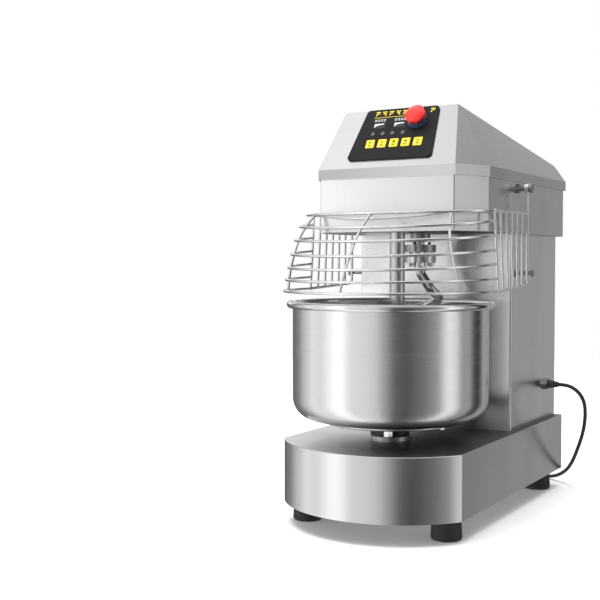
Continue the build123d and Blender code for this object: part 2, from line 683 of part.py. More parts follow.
bowl_sprocket = sprocket_at(BOWL_CENTRE, BOWL_CHAIN_Z, BOWL_WHEEL_R, BOWL_SHAFT_R)
idler_pinion = sprocket_at(IDLER, BOWL_CHAIN_Z, IDLER_PINION_R, IDLER_SHAFT_R)
idler_wheel = sprocket_at(IDLER, FIRST_CHAIN_Z, IDLER_WHEEL_R, IDLER_SHAFT_R)
jack_low_sprocket = sprocket_at(JACK, FIRST_CHAIN_Z, JACK_BASE_R, JACK_SHAFT_R)
jack_high_sprocket = sprocket_at(JACK, HEAD_CHAIN_Z, JACK_HEAD_R, JACK_SHAFT_R)
spiral_sprocket = sprocket_at(SPIRAL, HEAD_CHAIN_Z, SPIRAL_WHEEL_R, SPIRAL_SHAFT_R)
jack_pulley = pulley_at(JACK, BELT_Z, JACK_PULLEY_R, JACK_SHAFT_R)
save(pulley_at(MOTOR, BELT_Z, MOTOR_PULLEY_R, ROTOR_SHAFT_R), "motor_pulley")
save(group([bowl_shaft.part, bowl_sprocket], "bowl_drive"), "bowl_drive")

drive_belt = loop_between(MOTOR, MOTOR_PULLEY_R - 7 + GAP, JACK, JACK_PULLEY_R - 7 + GAP, BELT_Z + 4.1, 6, 6.8)
save(drive_belt, "drive_belt")
chain_gap = 2 + GAP
chains = [
    loop_between(JACK, JACK_HEAD_R + chain_gap, SPIRAL, SPIRAL_WHEEL_R + chain_gap, HEAD_CHAIN_Z, 5, 5),
    loop_between(JACK, JACK_BASE_R + chain_gap, IDLER, IDLER_WHEEL_R + chain_gap, FIRST_CHAIN_Z, 5, 5),
    loop_between(IDLER, IDLER_PINION_R + chain_gap, BOWL_CENTRE, BOWL_WHEEL_R + chain_gap, BOWL_CHAIN_Z, 5, 5),
]
save(group(chains, "drive_chains"), "drive_chains")


def shaft_at(centre, low, high, radius):
    """A plain vertical shaft."""
    with BuildPart() as shaft:
        with BuildSketch(Plane((centre[0], centre[1], low))):
            Circle(radius)
        extrude(amount=high - low)
    return shaft.part


PLATE_TOP = FOOT_H + SHEET + PLATE_T
jack_shaft = shaft_at(JACK, PLATE_TOP + 2, 624, JACK_SHAFT_R)
idler_shaft = shaft_at(IDLER, PLATE_TOP + 2, HOUSING_TOP - 2, IDLER_SHAFT_R)
save(group([jack_shaft, jack_low_sprocket, jack_high_sprocket, jack_pulley], "jackshaft"), "jackshaft")
save(group([idler_shaft, idler_pinion, idler_wheel], "idler"), "idler")

jack_bearings = [
    ring_at(*JACK, PLATE_TOP, 26, JACK_SHAFT_R + FIT, 14),
    ring_at(*JACK, PLATE_Z + GEAR_PLATE_T, 26, JACK_SHAFT_R + FIT, 12),
]
idler_bearings = [
    ring_at(*IDLER, PLATE_TOP, 22, IDLER_SHAFT_R + FIT, 12),
    ring_at(*IDLER, HOUSING_TOP - 12, 22, IDLER_SHAFT_R + FIT, 12),
]

with BuildPart() as gear_plate:
    with BuildSketch(Plane((0, AXIS_Y + 242, PLATE_Z))):
        RectangleRounded(300, 386, 8)
    extrude(amount=GEAR_PLATE_T)
    with Locations((*SPIRAL, PLATE_Z)):
        Cylinder(SPIRAL_HOLE_R, 30, mode=Mode.SUBTRACT)
    with Locations((*JACK, PLATE_Z)):
        Cylinder(JACK_SHAFT_R + 3, 30, mode=Mode.SUBTRACT)
    with Locations((*MOTOR, PLATE_Z)):
        Cylinder(ROTOR_SHAFT_R + 6, 30, mode=Mode.SUBTRACT)
save(gear_plate.part, "gear_plate")

# ---- motor ----
MOTOR_TOP = PLATE_Z
MOTOR_LOW = 340.0
motor_section = Plane((*MOTOR, 0), x_dir=(1, 0, 0), z_dir=(0, -1, 0))
with BuildPart() as motor_housing:
    with BuildSketch(motor_section):
        with BuildLine():
            Polyline((16, MOTOR_LOW), (66, MOTOR_LOW), (70, MOTOR_LOW + 4), (70, MOTOR_TOP - 10),
                     (76, MOTOR_TOP - 10), (76, MOTOR_TOP), (16, MOTOR_TOP), (16, MOTOR_TOP - 14),
                     (62, MOTOR_TOP - 14), (62, MOTOR_LOW + 14), (16, MOTOR_LOW + 14), (16, MOTOR_LOW))
        make_face()
    revolve(axis=Axis((*MOTOR, 0), (0, 0, 1)))
stator = ring_at(*MOTOR, 385, 61.9, 37, 110)
rotor = ring_at(*MOTOR, 385, 36, ROTOR_SHAFT_R + 0.02, 110)
rotor_shaft = shaft_at(MOTOR, MOTOR_LOW + 1, 590, ROTOR_SHAFT_R)
save(group([motor_housing.part, stator], "motor"), "motor")
save(group([rotor, rotor_shaft], "motor_rotor"), "motor_rotor")
motor_bearings = [
    ring_at(*MOTOR, z, 15.98, ROTOR_SHAFT_R + FIT, 12)
    for z in (MOTOR_LOW + 1, MOTOR_TOP - 13)
]

with BuildPart() as contactor_box:
    with BuildSketch(Plane((-60, AXIS_Y + 245, 190))):
        RectangleRounded(120, 70, 5)
    extrude(amount=110)
    fillet(contactor_box.faces().sort_by(Axis.Z)[-1].edges(), 3)
with BuildPart() as guard_switch:
    with BuildSketch(Plane((HEAD_HALF_W - SHEET - 11, GUARD_REAR_Y, 585))):
        Rectangle(20, 40)
    extrude(amount=48)
save(group([contactor_box.part, guard_switch.part], "switch_boxes"), "switch_boxes")

# ---- spiral ----
SHAFT_FLANGE_TOP = SHAFT_FLANGE_Z + FLANGE_T
COUPLING_R = 21.0
COUPLING_BOLT_R = 4.0
with BuildPart() as spiral_shaft:
    with BuildSketch(Plane((*SPIRAL, SHAFT_FLANGE_Z))):
        Circle(FLANGE_R)
        with PolarLocations(COUPLING_R, 4, start_angle=45):
            Circle(COUPLING_BOLT_R + 0.2, mode=Mode.SUBTRACT)
    extrude(amount=FLANGE_T)
    with BuildSketch(Plane((*SPIRAL, SHAFT_FLANGE_TOP))):
        Circle(13)
    extrude(amount=10)
    with BuildSketch(Plane((*SPIRAL, SHAFT_FLANGE_TOP + 10))):
        Circle(19)
    extrude(amount=PLATE_Z + GEAR_PLATE_T - SHAFT_FLANGE_TOP - 10)
    with BuildSketch(Plane((*SPIRAL, PLATE_Z + GEAR_PLATE_T))):
        Circle(SPIRAL_SHAFT_R)
    extrude(amount=626 - PLATE_Z - GEAR_PLATE_T)
save(group([spiral_shaft.part, spiral_sprocket], "spiral_shaft"), "spiral_shaft")

coupling_bolts = []
for place in PolarLocations(COUPLING_R, 4, start_angle=45):
    seat_x = SPIRAL_X + place.position.X
    seat_y = SPIRAL_Y + place.position.Y
    coupling_bolts.append(bolt_on(Plane((seat_x, seat_y, SHAFT_FLANGE_TOP)), COUPLING_BOLT_R, 42, 7.5, 6))
    coupling_bolts.append(ring_at(seat_x, seat_y, HOOK_FLANGE_Z - 6, 7, COUPLING_BOLT_R + 0.02, 6))
    coupling_bolts.append(
        ring_at(seat_x, seat_y, HOOK_FLANGE_Z + FLANGE_T, 7, COUPLING_BOLT_R + 0.02,
                SHAFT_FLANGE_Z - HOOK_FLANGE_Z - FLANGE_T))
save(group(coupling_bolts, "coupling_bolts"), "coupling_bolts")

HOOK_START_TURN = 10.0
HOOK_STEPS = 21
HOOK_STEP_TURN = 30.0
HOOK_HIGH = 425.0
HOOK_LOW = 229.0
SPREAD_STEPS = 6
hook_points = [
    Vector(SPIRAL_X, SPIRAL_Y, HOOK_FLANGE_Z - 4),
    Vector(SPIRAL_X, SPIRAL_Y, HOOK_FLANGE_Z - 20),
]
for step in range(HOOK_STEPS + 1):
    turn = math.radians(HOOK_START_TURN + HOOK_STEP_TURN * step)
    spread = math.sin(math.pi / 2 * min(1, (step + 1.6) / SPREAD_STEPS))
    closing = 1 - 0.35 * max(0, step - HOOK_STEPS + 3) / 3
    reach = SPIRAL_SWEEP_R * spread * closing
    fall = HOOK_HIGH + (HOOK_LOW - HOOK_HIGH) * step / HOOK_STEPS
    hook_points.append(Vector(SPIRAL_X + reach * math.cos(turn), SPIRAL_Y + reach * math.sin(turn), fall))
hook_bar = bent_bar(hook_points, SPIRAL_BAR_R)

with BuildPart() as spiral_hook:
    add(hook_bar)
    with BuildSketch(Plane((*SPIRAL, HOOK_FLANGE_Z))):
        Circle(FLANGE_R)
        with PolarLocations(COUPLING_R, 4, start_angle=45):
            Circle(COUPLING_BOLT_R + 0.2, mode=Mode.SUBTRACT)
    extrude(amount=FLANGE_T)
    with BuildSketch(Plane((*SPIRAL, HOOK_FLANGE_Z))):
        Circle(12.5)
    extrude(amount=-16)
save(spiral_hook.part, "spiral_hook")

with BuildPart() as spiral_housing:
    with BuildSketch(Plane((*SPIRAL, PLATE_Z + GEAR_PLATE_T))):
        Circle(50)
    extrude(amount=7)
    with BuildSketch(Plane((*SPIRAL, PLATE_Z + GEAR_PLATE_T + 7))):
        Circle(38)
    extrude(amount=43)
    with BuildSketch(Plane((*SPIRAL, PLATE_Z + GEAR_PLATE_T))):
        Circle(31)
    extrude(amount=60, mode=Mode.SUBTRACT)
save(group([bowl_housing.part, spiral_housing.part], "bearing_housings"), "bearing_housings")
spiral_bearings = [
    ring_at(*SPIRAL, PLATE_Z + GEAR_PLATE_T + lift, 30.98, SPIRAL_SHAFT_R + FIT, 15)
    for lift in (1, 32)
]
bearings = bowl_bearings + spiral_bearings + jack_bearings + idler_bearings + motor_bearings
save(group(bearings, "shaft_bearings"), "shaft_bearings")

# ---- breaker bar ----
BREAKER = (BREAKER_X, BREAKER_Y)
BREAKER_TOP = PLATE_Z + 10
TIP_TOP = 228.0
TIP_R = 11.0
FIN_TOP = 305.0
FIN_REACH = 52.0
breaker_section = Plane((*BREAKER, 0), x_dir=(1, 0, 0), z_dir=(0, -1, 0))
breaker_axis = Axis((*BREAKER, 0), (0, 0, 1))
with BuildPart() as breaker_bar:
    with BuildSketch(breaker_section):
        with BuildLine():
            Polyline((0, TIP_TOP), (TIP_R, TIP_TOP), (BREAKER_R, TIP_TOP + 60), (BREAKER_R, BREAKER_TOP),
                     (0, BREAKER_TOP), (0, TIP_TOP))
        make_face()
    revolve(axis=breaker_axis)
save(breaker_bar.part, "breaker_bar")

with BuildPart() as breaker_tip:
    with BuildSketch(breaker_section):
        with BuildLine():
            Polyline((0, BREAKER_TIP_Z), (TIP_R - 3, BREAKER_TIP_Z), (TIP_R, BREAKER_TIP_Z + 3), (TIP_R, TIP_TOP),
                     (0, TIP_TOP), (0, BREAKER_TIP_Z))
        make_face()
    revolve(axis=breaker_axis)
save(breaker_tip.part, "breaker_tip")

with BuildPart() as breaker_fin:
    with BuildSketch(Plane((BREAKER_X, BREAKER_Y - 1.5, 0), x_dir=(-1, 0, 0), z_dir=(0, 1, 0))):
        with BuildLine():
            Polyline((BREAKER_R, FIN_TOP), (BREAKER_R, TIP_TOP + 60), (TIP_R + 0.2, TIP_TOP + 4), (FIN_REACH, TIP_TOP + 4),
                     (BREAKER_R, FIN_TOP))
        make_face()
    extrude(amount=3)
save(breaker_fin.part, "breaker_fin")

breaker_clamp = [ring_at(*BREAKER, PLATE_Z, 25, BREAKER_R + 0.02, 6)]
for place in PolarLocations(19.5, 4, start_angle=45):
    seat = Plane((BREAKER_X + place.position.X, BREAKER_Y + place.position.Y, PLATE_Z + 6))
    with BuildPart() as cap:
        with BuildSketch(seat):
            RegularPolygon(4.5, 6)
        extrude(amount=4)
    breaker_clamp.append(cap.part)
save(group(breaker_clamp, "breaker_clamp"), "breaker_clamp")

# ---- wire guard ----
# Each hoop has straight ends and a half-elliptical front. Its row gives the height at its sides, then the
# front point's Y from the bowl axis and height.
HOOPS = (
    (429.5, -198.0, 428.0),
    (452.0, -190.0, 447.0),
    (478.0, -179.0, 467.5),
    (503.0, -163.0, 491.0),
    (529.0, -144.0, 517.0),
    (555.0, -118.5, 541.5),
    (573.0, -82.0, 568.0),
)
HOOP_HALF_W_LOW = 194.0
HOOP_HALF_W_HIGH = 186.0
WELD = 0.3
RIB_TURN_LOW = 23.0
RIB_TURN_HIGH = 41.0
LONGEST_RUN = 40.0
SHORTEST_RUN = 4.0


def hoop_shape(index):
    """Side centre, front direction, half width, straight run and whole reach of one hoop."""
    side_z, front_y, front_z = HOOPS[index]
    centre = Vector(0, GUARD_FRONT_Y, side_z)
    front = Vector(0, AXIS_Y + front_y, front_z) - centre
    share = index / (len(HOOPS) - 1)
    half_w = HOOP_HALF_W_LOW + (HOOP_HALF_W_HIGH - HOOP_HALF_W_LOW) * share
    run = LONGEST_RUN + (SHORTEST_RUN - LONGEST_RUN) * share ** 4
    return centre, front.normalized(), half_w, run, front.length


def hoop_point(index, turn, inset):
    """A point on a hoop's front, turn degrees round from its right end, inset towards its middle."""
    centre, front, half_w, run, reach = hoop_shape(index)
    across = (half_w - inset) * math.cos(math.radians(turn))
    forward = run + (reach - run - inset) * math.sin(math.radians(turn))
    return centre + Vector(across, 0, 0) + front * forward


hoops = []
for index in range(len(HOOPS)):
    centre, front, half_w, run, reach = hoop_shape(index)
    hoop_plane = Plane(centre, x_dir=(1, 0, 0), z_dir=Vector(1, 0, 0).cross(front))
    with BuildLine(hoop_plane) as hoop_line:
        Line((half_w, WIRE_R - WELD), (half_w, run))
        EllipticalCenterArc((0, run), half_w, reach - run, start_angle=0, arc_size=180)
        Line((-half_w, run), (-half_w, WIRE_R - WELD))
    hoops.append(wire(hoop_line.wires()[0], WIRE_R))
save(group(hoops, "guard_hoops"), "guard_hoops")

ribs = []
for side in (-1, 0, 1):
    rib_points = []
    for index in range(len(HOOPS)):
        spread = RIB_TURN_LOW + (RIB_TURN_HIGH - RIB_TURN_LOW) * index / (len(HOOPS) - 1)
        turn = 90 - side * (90 - spread)
        rib_points.append(hoop_point(index, turn, 2 * WIRE_R - WELD))
    with BuildLine() as rib_line:
        Spline(*rib_points)
    with BuildPart() as rib:
        add(wire(rib_line.wires()[0], WIRE_R))
        with Locations(rib_points[-1]):
            Sphere(WIRE_R + 1.4)
    ribs.append(rib.part)

# A thinner brace joins the tops of the outer ribs and dips behind the top hoop.
BRACE_R = 2.1
brace_left, brace_right = (hoop_point(len(HOOPS) - 1, turn, 2 * WIRE_R - WELD)
                           for turn in (180 - RIB_TURN_HIGH, RIB_TURN_HIGH))
brace_middle = Vector(0, AXIS_Y + HOOPS[-1][1] + 11, HOOPS[-1][2] - 9)
with BuildPart() as outer_ribs:
    add(ribs[0])
    add(ribs[2])
    add(wire(ThreePointArc(brace_left, brace_middle, brace_right), BRACE_R))
save(group([outer_ribs.part, ribs[1]], "guard_ribs"), "guard_ribs")

GRID_PITCH = 27.0
GRID_WIRES = 5
TOP_WIRE_R = 2.7
CORNER_BALL_R = 3.6
EYE_R = 8.5
SPOOL_R = 5.0
low_z = HOOPS[0][0]
high_z = HOOPS[-1][0]
rear_low_z = low_z + 8
for side, name in ((1, "guard_side_right"), (-1, "guard_side_left")):
    low_corner = Vector(side * HOOP_HALF_W_LOW, GUARD_FRONT_Y, low_z)
    high_corner = Vector(side * HOOP_HALF_W_HIGH, GUARD_FRONT_Y, high_z)
    rear_low = Vector(side * GUARD_X, GUARD_REAR_Y, rear_low_z)
    rear_high = Vector(side * GUARD_X, GUARD_REAR_Y, high_z)
    hanger_top = Vector(side * GUARD_X, GUARD_REAR_Y, PIVOT_Z - EYE_R + 1.5)
    frame_path = FilletPolyline(low_corner, rear_low, hanger_top, radius=10)
    eye_plane = Plane((side * GUARD_X - 4, GUARD_REAR_Y, PIVOT_Z), x_dir=(0, 1, 0), z_dir=(1, 0, 0))
    with BuildPart() as guard_side:
        add(wire(frame_path, FRAME_R))
        add(wire(Line(high_corner, rear_high), TOP_WIRE_R))
        add(wire(Line(low_corner, high_corner), WIRE_R))
        with Locations(low_corner, high_corner):
            Sphere(CORNER_BALL_R)
        for step in range(1, GRID_WIRES + 1):
            along = step * GRID_PITCH / (GUARD_REAR_Y - GUARD_FRONT_Y)
            foot = low_corner + (rear_low - low_corner) * along
            head = high_corner + (rear_high - high_corner) * along
            add(wire(Line(foot, head), WIRE_R))
        with BuildSketch(eye_plane):
            Circle(EYE_R)
        extrude(amount=8)
        with BuildSketch(eye_plane):
            Circle(SPOOL_R + FIT)
        extrude(amount=8, mode=Mode.SUBTRACT)
    save(guard_side.part, name)

spools = []
for side in (1, -1):
    near = side * HEAD_HALF_W
    with BuildPart() as spool:
        add(rod_along_x(near, GUARD_REAR_Y, PIVOT_Z, SPOOL_R, side * 30))
        add(rod_along_x(near, GUARD_REAR_Y, PIVOT_Z, 9, side * 5))
        add(rod_along_x(near + side * 26, GUARD_REAR_Y, PIVOT_Z, 9, side * 4))
    spools.append(spool.part)

STOP_PIN_R = 4.0
stop_y = GUARD_REAR_Y + FRAME_R + STOP_PIN_R + GAP
stop_pins = []
for side in (1, -1):
    near = side * COLUMN_HALF_W
    with BuildPart() as stop_pin:
        add(rod_along_x(near, stop_y, STOP_Z, STOP_PIN_R, side * 37))
        add(rod_along_x(near, stop_y, STOP_Z, 8, side * 3))
        add(rod_along_x(near + side * 34, stop_y, STOP_Z, 7, side * 3))
    stop_pins.append(stop_pin.part)
save(group(spools + stop_pins, "guard_mounts"), "guard_mounts")

# ---- power cord ----
GLAND_END = COLUMN_HALF_W + 7
RELIEF_END = GLAND_END + 22
gland_section = Plane((0, GLAND_Y, GLAND_Z), x_dir=(1, 0, 0), z_dir=(0, -1, 0))
gland_axis = Axis((0, GLAND_Y, GLAND_Z), (1, 0, 0))
with BuildPart() as cord_gland:
    with BuildSketch(Plane((COLUMN_HALF_W, GLAND_Y, GLAND_Z), x_dir=(0, 1, 0), z_dir=(1, 0, 0))):
        RegularPolygon(12.5, 6)
    extrude(amount=7)
    with BuildSketch(Plane((COLUMN_HALF_W, GLAND_Y, GLAND_Z), x_dir=(0, 1, 0), z_dir=(1, 0, 0))):
        Circle(7.8)
    extrude(amount=-10)
save(cord_gland.part, "cord_gland")
with BuildPart() as strain_relief:
    with BuildSketch(gland_section):
        with BuildLine():
            Polyline((GLAND_END, 0), (GLAND_END, 8.5), (GLAND_END + 6, 8.5), (RELIEF_END, 5), (RELIEF_END, 0),
                     (GLAND_END, 0))
        make_face()
    revolve(axis=gland_axis)
save(strain_relief.part, "strain_relief")

COIL_X = 10.0
COIL_Y = AXIS_Y + 596.0
COIL_MID_R = 38.4
TURN_PITCH = 7.6
COIL_OUTER_R = COIL_MID_R + TURN_PITCH + CORD_R + 0.5
COIL_INNER_R = COIL_MID_R - TURN_PITCH - CORD_R - 0.5
COIL_H = TURN_PITCH + 2 * CORD_R + 0.5
ENTRY_R = COIL_MID_R + TURN_PITCH
# The free stretch of the cord: X, Y from the bowl axis, and height of each point.
CORD_ROUTE = (
    (RELIEF_END, 404.0, GLAND_Z),
    (209.0, 404.0, GLAND_Z),
    (225.0, 407.0, 219.0),
    (237.0, 410.5, 206.5),
    (243.5, 415.0, 189.5),
    (243.5, 422.0, 168.5),
    (239.5, 431.5, 142.5),
    (230.5, 442.5, 113.5),
    (217.5, 457.0, 84.5),
    (204.0, 472.5, 57.5),
    (188.5, 488.5, 35.5),
    (169.5, 504.5, 19.5),
    (148.0, 519.5, 8.5),
    (123.5, 533.0, CORD_R),
    (95.0, 544.5, CORD_R),
    (63.0, 550.0, CORD_R),
    (30.0, COIL_Y - AXIS_Y - ENTRY_R, CORD_R),
)
cord_points = [Vector(x, AXIS_Y + y, z) for x, y, z in CORD_ROUTE]
cord_radii = corner_radii(cord_points)
power_cord = bent_bar(cord_points, CORD_R)
save(power_cord, "power_cord")
cord_length = power_cord.volume / (math.pi * CORD_R ** 2)
print("cord radii", [round(radius) for radius in cord_radii], "length", round(cord_length))

cord_coil = ring_at(COIL_X, COIL_Y, 0, COIL_OUTER_R, COIL_INNER_R, COIL_H)
save(cord_coil, "cord_coil")

PLUG_Z = CORD_R + TURN_PITCH
PLUG_X = COIL_X - ENTRY_R
PLUG_Y = COIL_Y + 24.0
plug_plane = Plane((PLUG_X, PLUG_Y, PLUG_Z), x_dir=(1, 0, 0), z_dir=(0, 1, 0))
with BuildPart() as power_plug:
    with BuildSketch(plug_plane):
        Circle(5)
    with BuildSketch(plug_plane.offset(22)):
        Circle(7.5)
    loft()
    with BuildSketch(plug_plane.offset(22)):
        RectangleRounded(30, 2 * PLUG_Z, 6)
    extrude(amount=34)
    fillet(power_plug.faces().sort_by(Axis.Y)[-1].edges(), 1.5)
    with BuildSketch(plug_plane.offset(56)):
        with Locations((-8, -3), (8, -3)):
            Rectangle(2, 6.4)
        with Locations((0, 5)):
            Rectangle(6.4, 2)
    extrude(amount=18)
save(power_plug.part, "power_plug")
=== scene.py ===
"""Looks for the spiral dough mixer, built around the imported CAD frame. All lengths are metres."""

import math

import bmesh
import bpy
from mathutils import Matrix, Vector


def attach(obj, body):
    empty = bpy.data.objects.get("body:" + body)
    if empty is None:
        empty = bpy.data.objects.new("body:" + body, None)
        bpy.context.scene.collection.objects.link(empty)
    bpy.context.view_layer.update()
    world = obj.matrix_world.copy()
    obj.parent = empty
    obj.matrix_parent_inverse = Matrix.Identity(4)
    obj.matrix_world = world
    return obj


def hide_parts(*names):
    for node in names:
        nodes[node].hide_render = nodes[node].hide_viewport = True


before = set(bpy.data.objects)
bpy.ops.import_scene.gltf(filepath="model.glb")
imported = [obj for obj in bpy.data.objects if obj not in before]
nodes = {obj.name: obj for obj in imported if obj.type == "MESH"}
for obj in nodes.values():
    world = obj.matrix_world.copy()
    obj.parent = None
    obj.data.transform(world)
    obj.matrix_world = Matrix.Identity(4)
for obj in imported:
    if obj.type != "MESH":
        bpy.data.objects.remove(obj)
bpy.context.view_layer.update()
scene = bpy.context.scene

# ---- places shared with the CAD part ----
AXIS_Y = -0.1525
RIM_BOTTOM = 0.3965
LID_FRONT_Y = AXIS_Y - 0.0265
LID_FOOT_Z = 0.654
SLOPE_RUN = 0.067
SLOPE_RISE = 0.1135
SLOPE = math.hypot(SLOPE_RUN, SLOPE_RISE)
SLOPE_UP = Vector((0, SLOPE_RUN, SLOPE_RISE)).normalized()
SLOPE_OUT = Vector((0, -SLOPE_RISE, SLOPE_RUN)).normalized()
PANEL_TOP = 0.004
KEY_TOP = 0.0052
DISPLAY_TOP = 0.0035
SQUARE_KEY_X = (-0.040, -0.016, 0.008, 0.032, 0.056)
SQUARE_KEY_ALONG = 0.38 * SLOPE
DISPLAY_X = (-0.0325, 0.0085)
DISPLAY_ALONG = 0.70 * SLOPE
STOP_X = 0.044
STOP_ALONG = 0.772 * SLOPE


def face_point(x, along, above):
    """A point on the sloped control face: across, up the slope, and out from the sheet."""
    return Vector((x, LID_FRONT_Y, LID_FOOT_Z)) + SLOPE_UP * along + SLOPE_OUT * above


# ---- camera ----
CAMERA_LENS = 63.19
CAMERA_PLACE = (0.8583, -1.9026, 0.4821)
CAMERA_DROP = 2.086
CAMERA_TURN = 31.03
camera_data = bpy.data.cameras.new("camera")
camera_data.sensor_width = 36.0
camera_data.lens = CAMERA_LENS
camera = bpy.data.objects.new("camera", camera_data)
camera.location = CAMERA_PLACE
camera.rotation_euler = (math.radians(90 - CAMERA_DROP), 0, math.radians(CAMERA_TURN))
scene.collection.objects.link(camera)
scene.camera = camera


# ---- node helpers ----
class Nodes:
    """A short way to add and join the nodes of one material or world."""

    def __init__(self, tree):
        self.tree = tree

    def add(self, kind, **settings):
        node = self.tree.nodes.new(kind)
        for key, value in settings.items():
            setattr(node, key, value)
        return node

    def feed(self, socket, value):
        if isinstance(value, bpy.types.NodeSocket):
            self.tree.links.new(value, socket)
        else:
            socket.default_value = value

    def math(self, operation, first, second=0.0):
        node = self.add("ShaderNodeMath", operation=operation)
        self.feed(node.inputs[0], first)
        self.feed(node.inputs[1], second)
        return node.outputs[0]

    def spread(self, value, from_low, from_high, to_low, to_high, smooth=False):
        """Maps a value from one range to another, held at the ends."""
        node = self.add("ShaderNodeMapRange", clamp=True)
        node.interpolation_type = "SMOOTHSTEP" if smooth else "LINEAR"
        self.feed(node.inputs["Value"], value)
        limits = {"From Min": from_low, "From Max": from_high, "To Min": to_low, "To Max": to_high}
        for name, number in limits.items():
            self.feed(node.inputs[name], number)
        return node.outputs["Result"]

    def mix(self, factor, first, second):
        """A colour between two colours."""
        node = self.add("ShaderNodeMix", data_type="RGBA")
        self.feed(node.inputs[0], factor)
        for socket, value in ((node.inputs[6], first), (node.inputs[7], second)):
            self.feed(socket, value if isinstance(value, bpy.types.NodeSocket) else (*value, 1.0))
        return node.outputs[2]

    def place(self):
        return self.add("ShaderNodeTexCoord").outputs["Object"]

    def scaled(self, vector, scale):
        node = self.add("ShaderNodeVectorMath", operation="MULTIPLY")
        self.feed(node.inputs[0], vector)
        self.feed(node.inputs[1], scale)
        return node.outputs[0]

    def noise(self, vector, scale, detail=2.0, roughness=0.5, distortion=0.0):
        node = self.add("ShaderNodeTexNoise")
        self.feed(node.inputs["Vector"], vector)
        self.feed(node.inputs["Scale"], scale)
        self.feed(node.inputs["Detail"], detail)
        self.feed(node.inputs["Roughness"], roughness)
        self.feed(node.inputs["Distortion"], distortion)
        return node.outputs["Fac"]

    def bump(self, height, distance, strength=1.0, under=None):
        node = self.add("ShaderNodeBump")
        self.feed(node.inputs["Height"], height)
        self.feed(node.inputs["Distance"], distance)
        self.feed(node.inputs["Strength"], strength)
        if under is not None:
            self.feed(node.inputs["Normal"], under)
        return node.outputs["Normal"]

    def parts(self, vector):
        node = self.add("ShaderNodeSeparateXYZ")
        self.feed(node.inputs[0], vector)
        return node.outputs[0], node.outputs[1], node.outputs[2]


def shader(name, metallic=0.0, **sockets):
    """A new material with its Principled shader, uniform values set on the sockets."""
    material = bpy.data.materials.new(name)
    material.use_nodes = True
    kit = Nodes(material.node_tree)
    surface = material.node_tree.nodes["Principled BSDF"]
    surface.inputs["Metallic"].default_value = metallic
    for socket, value in sockets.items():
        surface.inputs[socket.replace("_", " ")].default_value = value
    return material, kit, surface


def worn_edges(kit, width):
    """Near 1 along a sharp edge and 0 away from it."""
    bevel = kit.add("ShaderNodeBevel", samples=4)
    bevel.inputs["Radius"].default_value = width
    geometry = kit.add("ShaderNodeNewGeometry")
    dot = kit.add("ShaderNodeVectorMath", operation="DOT_PRODUCT")
    kit.feed(dot.inputs[0], bevel.outputs["Normal"])
    kit.feed(dot.inputs[1], geometry.outputs["Normal"])
    return kit.spread(dot.outputs["Value"], 0.995, 0.8, 0.0, 1.0)


# ---- metals ----
def sheet_steel(name, tone, roughness, band=None):
    """Brushed stainless sheet: fine level grain, faint smears, and slightly uneven flatness.

    Its colour carries painted shade that darkens it towards the operator's right, far more where it faces
    up; faces that look up are also rougher.
    band gives the height below which the sheet is a folded strip, painted darker as painted shade, less
    dark towards the operator's right.
    """
    material, kit, surface = shader(name, metallic=1.0, Anisotropic=0.55, Anisotropic_Rotation=0.25)
    place = kit.place()
    level_grain = kit.noise(kit.scaled(place, (9, 9, 2600)), 1.0, 3.0, 0.6)
    flat_grain = kit.noise(kit.scaled(place, (9, 2600, 9)), 1.0, 3.0, 0.6)
    normal = kit.add("ShaderNodeNewGeometry").outputs["Normal"]
    upward = kit.math("ABSOLUTE", kit.parts(normal)[2])
    facing = kit.spread(upward, 0.75, 0.95, 0.0, 1.0)
    grain_mix = kit.add("ShaderNodeMix", data_type="FLOAT")
    kit.feed(grain_mix.inputs[0], facing)
    kit.feed(grain_mix.inputs[2], level_grain)
    kit.feed(grain_mix.inputs[3], flat_grain)
    grain = grain_mix.outputs[0]
    smears = kit.noise(kit.scaled(place, (1, 1, 0.45)), 7.0, 4.0, 0.55, 0.6)
    waves = kit.noise(kit.scaled(place, (1, 1, 0.5)), 2.6, 1.0)
    dark = [channel * 0.93 for channel in tone]
    colour = kit.mix(kit.spread(grain, 0.3, 0.7, 0.0, 1.0), dark, tone)
    edge = worn_edges(kit, 0.0012)
    bright = [min(1.0, channel * 1.12) for channel in tone]
    x, y, z = kit.parts(place)
    # Painted shade: the colour darkens towards the operator's right, its edge broken up by the smears.
    drift = kit.spread(kit.math("ADD", kit.math("MULTIPLY", x, 1.6), kit.math("MULTIPLY", smears, 0.12)),
                       -0.15, 0.32, 0.0, 0.5, smooth=True)
    colour = kit.mix(drift, colour, [channel * 0.72 for channel in tone])
    # Painted shade on faces that look up, much darker towards the operator's right.
    painted_top_shade = kit.math("MULTIPLY", facing, kit.spread(x, -0.09, 0.10, 0.0, 0.92, smooth=True))
    colour = kit.mix(painted_top_shade, colour, [channel * 0.14 for channel in tone])
    # Painted shade on the folded strip below band.
    if band is not None:
        folded = kit.spread(z, band - 0.0004, band + 0.0004, 1.0, 0.0)
        band_painted_shade = kit.mix(kit.spread(x, -0.14, 0.10, 0.0, 1.0), [channel * 0.46 for channel in tone],
                         [channel * 0.70 for channel in tone])
        colour = kit.mix(folded, colour, band_painted_shade)
    kit.feed(surface.inputs["Base Color"], kit.mix(edge, colour, bright))
    rough = kit.spread(smears, 0.3, 0.7, roughness - 0.035, roughness + 0.045)
    rough = kit.math("ADD", rough, kit.spread(upward, 0.75, 0.95, 0.0, 0.22))
    kit.feed(surface.inputs["Roughness"], kit.math("ADD", rough, kit.spread(grain, 0.2, 0.8, -0.03, 0.03)))
    uneven = kit.bump(waves, 0.0022, 0.5)
    kit.feed(surface.inputs["Normal"], kit.bump(grain, 0.00003, 0.5, uneven))
    tangent = kit.add("ShaderNodeTangent", direction_type="RADIAL", axis="Z")
    kit.feed(surface.inputs["Tangent"], tangent.outputs[0])
    return material


